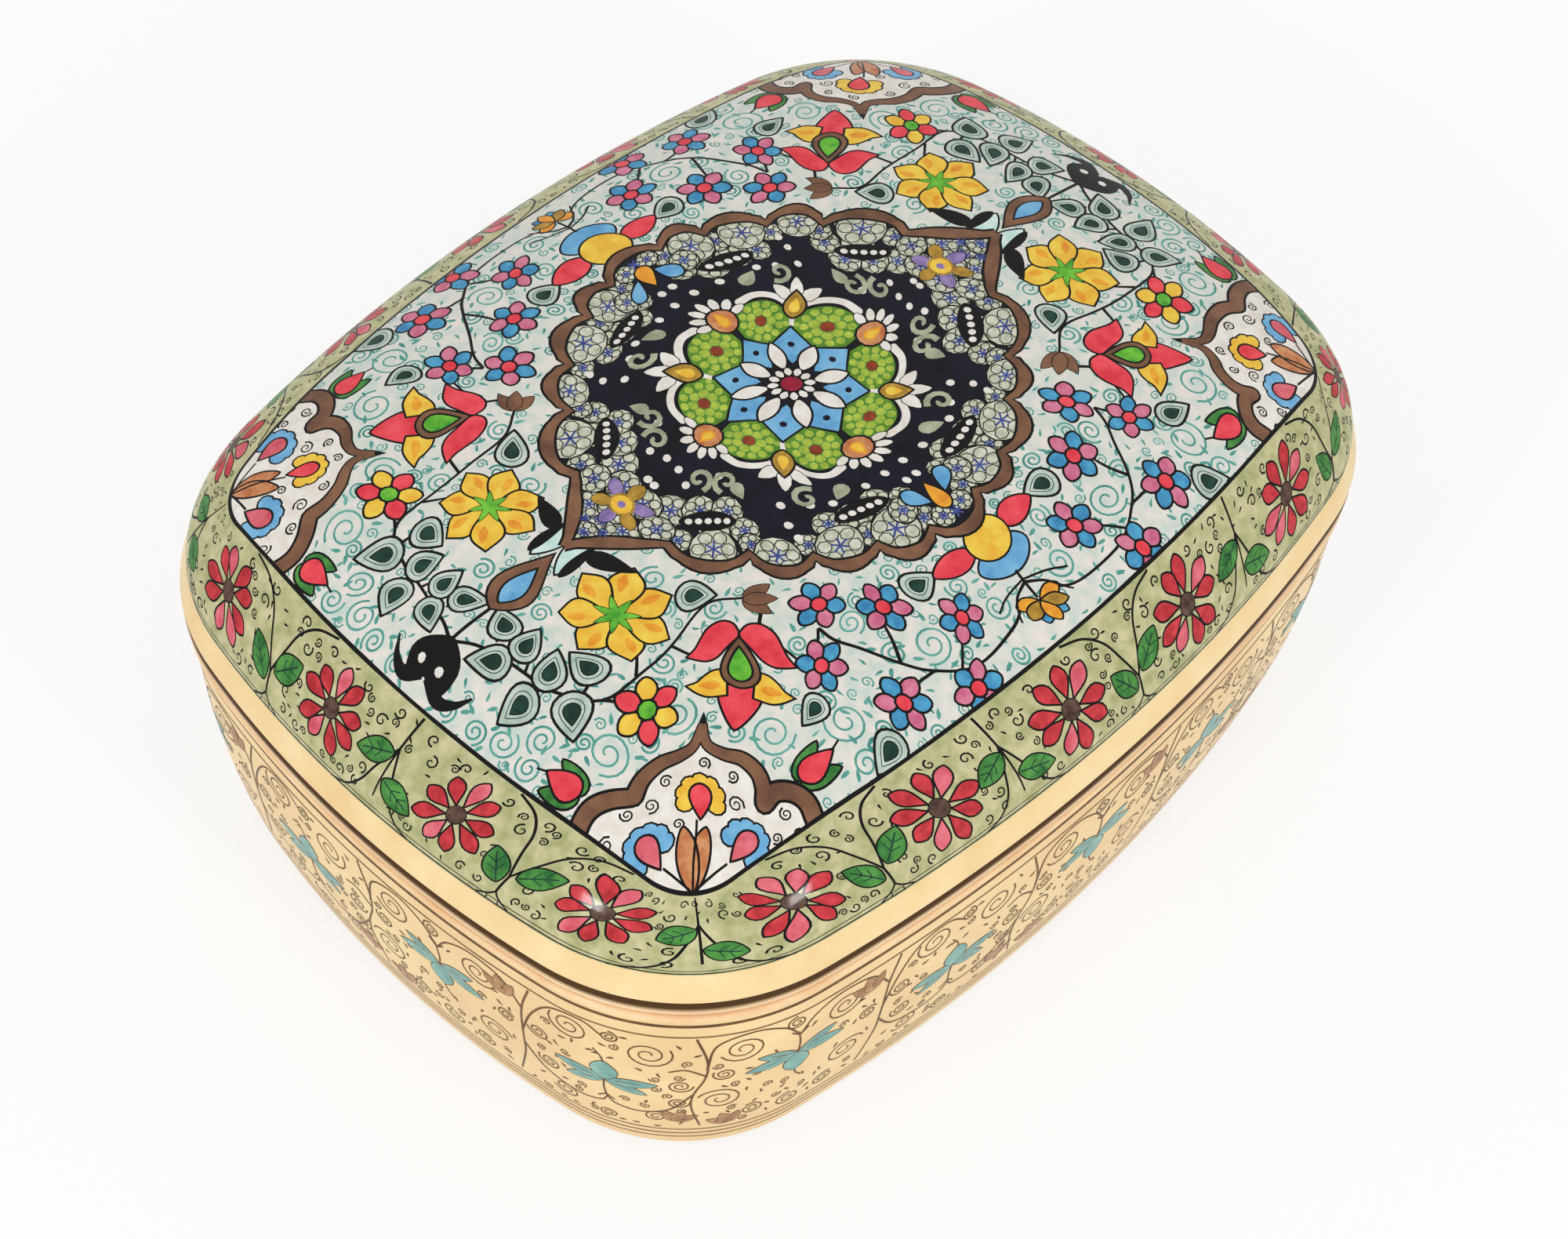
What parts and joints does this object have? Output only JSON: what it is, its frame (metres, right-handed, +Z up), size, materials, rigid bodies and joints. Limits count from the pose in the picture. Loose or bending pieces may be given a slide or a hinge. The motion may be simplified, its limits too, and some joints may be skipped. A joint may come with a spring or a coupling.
{
  "type": "papier mache box",
  "caption": "Oblong trinket box with bowed sides, round corners and a low domed lid that lifts straight off, painted with floral medallion work.",
  "frame": {"origin": "centre of the underside", "axes": "+Z up, the way the lid lifts; +X along the long sides; -Y towards a long side"},
  "size_m": [0.16, 0.1258, 0.0705],
  "materials": {
    "gold_scrollwork": "gloss",
    "painted_lid": "gloss",
    "gold_moulding": "gloss",
    "pulp_board": "matte",
    "collar_board": "satin",
    "lining": "satin",
    "base_pad": "matte"
  },
  "bodies": {
    "box_body": {"body_wall": "gold_scrollwork", "body_floor": "pulp_board", "body_collar": "collar_board", "body_upper_bead": "gold_moulding", "body_lower_bead": "gold_moulding", "body_wall_lining": "lining", "body_floor_lining": "lining", "base_cover": "base_pad"},
    "lid": {"lid_dome": "painted_lid", "lid_rim_band": "gold_moulding", "lid_lining": "lining"}
  },
  "joints": [
    {"name": "lid_lift", "type": "slide", "parent": "box_body", "child": "lid", "axis": [0, 0, 1], "range_m": [0, 0.06]}
  ]
}
